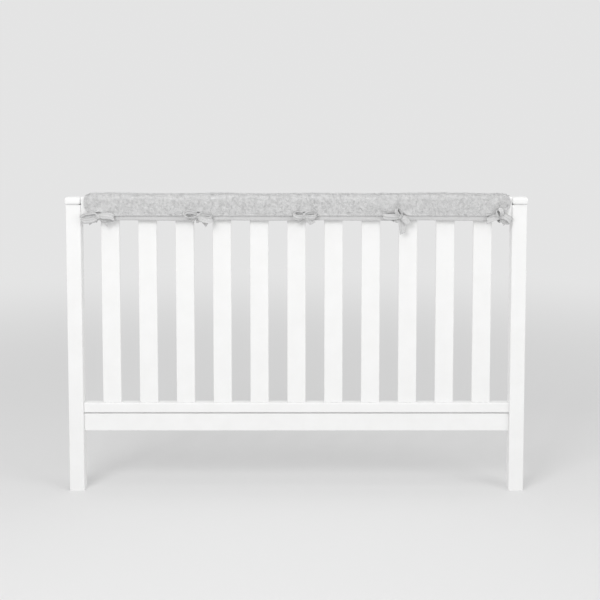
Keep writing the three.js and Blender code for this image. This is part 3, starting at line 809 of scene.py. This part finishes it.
def tie_strip(points, across, open_share, seed, slant=0):
    """A strip of tie cloth: its skin, faces, UV map and length. open_share gives how far the gathers
    have opened by the share of its length, and slant cuts its far end askew."""
    rng = np.random.default_rng(seed)
    line, length = smooth_line(points, len(points) * STATIONS_EACH)
    stations = len(line)
    forward = np.gradient(line, axis=0)
    forward /= np.linalg.norm(forward, axis=1, keepdims=True)
    wide = across - forward * (forward @ across)[:, None]
    wide /= np.linalg.norm(wide, axis=1, keepdims=True)
    thick = np.cross(forward, wide)
    twist = rng.uniform(-MOST_TWIST, MOST_TWIST) * np.sin(math.pi * np.linspace(0, 1, stations))[:, None]
    flat_wide, flat_thick = wide, thick
    wide = flat_wide * np.cos(twist) + flat_thick * np.sin(twist)
    thick = flat_thick * np.cos(twist) - flat_wide * np.sin(twist)
    # s runs across the strip from -1 to 1, and t along it from 0 to 1
    s = np.linspace(-1, 1, STRIP_ROWS)
    t = np.linspace(0, 1, stations)[:, None]
    opened = open_share(t)
    half = (TIE_GATHERED + (TIE_WIDTH - TIE_GATHERED) * opened) / 2
    gathers = GATHER_DEPTH * (1 - opened) * np.cos(3 * math.pi * s + rng.uniform(0, 6))
    over, along = CREASE_WAVES
    crease = CREASE_DEPTH * opened * np.cos(over * s + rng.uniform(0, 6) + along * t)
    over, along = FINE_CREASE_WAVES
    crease = crease + FINE_CREASE_DEPTH * opened * np.sin(over * s + rng.uniform(0, 6) + along * t)
    hem = TIE_HEM * opened * bell(abs(s) - TIE_HEM_AT, TIE_HEM_WIDTH)
    rise = gathers + crease - hem
    askew = slant * s * eased(t, SLANT_FROM, 1)
    centre = line[:, None] + wide[:, None] * (s * half)[..., None] + forward[:, None] * askew[..., None]
    outer = centre + thick[:, None] * (rise + TIE_THICKNESS / 2)[..., None]
    inner = centre + thick[:, None] * (rise - TIE_THICKNESS / 2)[..., None]
    ring = np.concatenate([outer, inner[:, ::-1]], 1)
    uv = np.stack(np.broadcast_arrays(s * TIE_WIDTH / 2, t * length), -1) / 1000
    uv = np.concatenate([uv, uv[:, ::-1]], 1)
    faces = outward(ring, skin_faces(stations, ring.shape[1]))
    return ring.reshape(-1, 3), faces, uv.reshape(-1, 2), length


def opening(t):
    """The gathers of a limb open out away from the knot."""
    return eased(t, *GATHERS_OPEN)


def loop_opening(t):
    """A loop is gathered at both of its ends."""
    return opening(np.where(t < 0.5, 2 * t, 2 * (1 - t)))


def strap_opening(t):
    """A strap is gathered where it reaches the knot."""
    return 1 - eased(t, STRAP_GATHERS, 1)


def tab_opening(t):
    """The root of a front tie is gathered all along."""
    return np.full_like(t, GATHERS_AT_TAB)


def loop_line(knot_x, knot_z, limb):
    """The middle line of a loop, out from the knot, round its far end and back, and the way across it."""
    along, up, half_opening, roll, slip = limb
    reach = math.hypot(along, up)
    way = np.array([along / reach, 0, up / reach])
    across = np.array([-way[2], 0, way[0]]) * (1 if way[0] > 0 else -1)
    roll = math.radians(roll)
    forward = np.array([0, -math.cos(roll), 0]) - across * math.sin(roll)
    before = PLUSH_BEFORE + half_opening * math.cos(roll) + TIE_WIDTH / 2 * abs(math.sin(roll))
    middle = np.array([knot_x, -KNOT_BEFORE, knot_z])
    points = []
    for out, layer in LOOP_SHAPE:
        shift = np.array([0, -(before - KNOT_BEFORE) * min(1, out * LOOP_FORWARD), 0])
        spread = forward * layer * half_opening - across * layer * slip
        points.append(middle + shift + way * out * reach + spread)
    return points, np.cross(way, forward)


def tail_line(knot_x, knot_z, limb, root, fall):
    """The middle line of a free end, bent a little by its weight, and the way across it."""
    along, up = limb
    reach = math.hypot(along, up)
    points = []
    for share, out in fall:
        arch = TAIL_ARCH * reach * math.sin(math.pi * share)
        points.append((knot_x + along * share, -root - out, knot_z + up * share + arch))
    return points, np.array([-up / reach, 0, along / reach])


def wrapped_knot(knot_x, knot_z, lean):
    """The knot: the back tie wound once over the gathered front one, its folds running down over it."""
    s = np.linspace(-1, 1, STRIP_ROWS)[:, None]
    turn = np.linspace(0, 2 * math.pi, 32, endpoint=False)[None, :]
    round_off = (1 - abs(s) ** 4) ** 0.5 * (1 - KNOT_ENDS) + KNOT_ENDS
    folds = KNOT_FOLD_DEPTH * np.cos(s * 8 + 1.2 * np.sin(turn))
    folds = folds + KNOT_FINE_FOLD_DEPTH * np.cos(s * 15 + 2 * turn)
    half_x, half_y, half_z = KNOT_HALF
    z = np.sin(turn) * (half_z * round_off + folds * round_off)
    y = np.cos(turn) * (half_y * round_off + folds * round_off)
    x = s * half_x * (1 - KNOT_WAIST * np.cos(turn) ** 2) + lean * z
    ring = np.stack([x + knot_x, y - KNOT_BEFORE, z + knot_z], -1)
    uv = np.stack(np.broadcast_arrays(s * half_x, turn * half_z), -1) / 1000
    return ring.reshape(-1, 3), outward(ring, skin_faces(*ring.shape[:2])), uv.reshape(-1, 2)


def joined_piece(name, parts):
    """One piece made of several skins."""
    points, faces, uv = [], [], []
    start = 0
    for part in parts:
        points.append(part[0])
        faces += (np.array(part[1]) + start).tolist()
        uv.append(part[2])
        start += len(part[0])
    return cloth_piece(name, np.concatenate(points), faces, cotton_finish, np.concatenate(uv))


along_rail = np.array([1.0, 0, 0])
behind = RAIL_HALF_MM + CLEAR_OF_WOOD + BINDING_THICKNESS + BINDING_BELLY + STRAP_PLAY + 3 * GAP
under = BINDING_BOTTOM - STRAP_UNDER
for i, (knot_x, bow) in enumerate(zip(KNOTS, BOWS)):
    knot_z, strap_x, back_loop, back_tail, front_loop, front_tail = bow
    # The strap's middle line from the back binding to the knot: how much of the way from its place under
    # the rail to that of the knot it has gone along the rail, then Y and Z
    strap = [
        (0, behind, BINDING_BOTTOM + 11),
        (0, behind, BINDING_BOTTOM + 2),
        (0, behind - 0.1, under + 3),
        (0, behind - 3.4, under),
        (0, 0, under - 0.4),
        (0, -STRAP_BEFORE + 7, under),
        (0.1, -STRAP_BEFORE + 1.4, under + 0.8),
        (0.4, -STRAP_BEFORE - 0.2, under + 7),
        (0.9, -STRAP_BEFORE - 1.6, knot_z - 4),
    ]
    strap = [(strap_x + (knot_x - strap_x) * share, y, z) for share, y, z in strap]
    tail = tail_line(knot_x, knot_z, back_tail, KNOT_BEFORE, BACK_TAIL_FALL)
    parts = [
        tie_strip(strap, along_rail, strap_opening, 100 + i),
        tie_strip(*loop_line(knot_x, knot_z, back_loop), loop_opening, 200 + i),
        tie_strip(*tail, opening, 300 + i, TAIL_SLANT),
    ]
    back_length = sum(part[3] for part in parts) + KNOT_TURN
    parts.append(wrapped_knot(knot_x, knot_z, KNOT_LEANS[i % 2]))
    back_tie = joined_piece(f"cotton_tie_back_{i + 1}", parts)
    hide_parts(f"tie_back_{i + 1}")

    # The front tie's root is a short tab that is sewn flat to the front binding
    tab = [(knot_x, -ROOT_BEFORE, BINDING_BOTTOM + up) for up in (3, 10, 17)]
    tail = tail_line(knot_x, knot_z, front_tail, ROOT_BEFORE, FRONT_TAIL_FALL)
    parts = [
        tie_strip(tab, along_rail, tab_opening, 400 + i),
        tie_strip(*loop_line(knot_x, knot_z, front_loop), loop_opening, 500 + i),
        tie_strip(*tail, opening, 600 + i, -TAIL_SLANT),
    ]
    front_length = sum(part[3] for part in parts)
    front_tie = joined_piece(f"cotton_tie_front_{i + 1}", parts)
    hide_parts(f"tie_front_{i + 1}")

    for piece, strip_length in [(back_tie, back_length), (front_tie, front_length)]:
        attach(piece, "root")
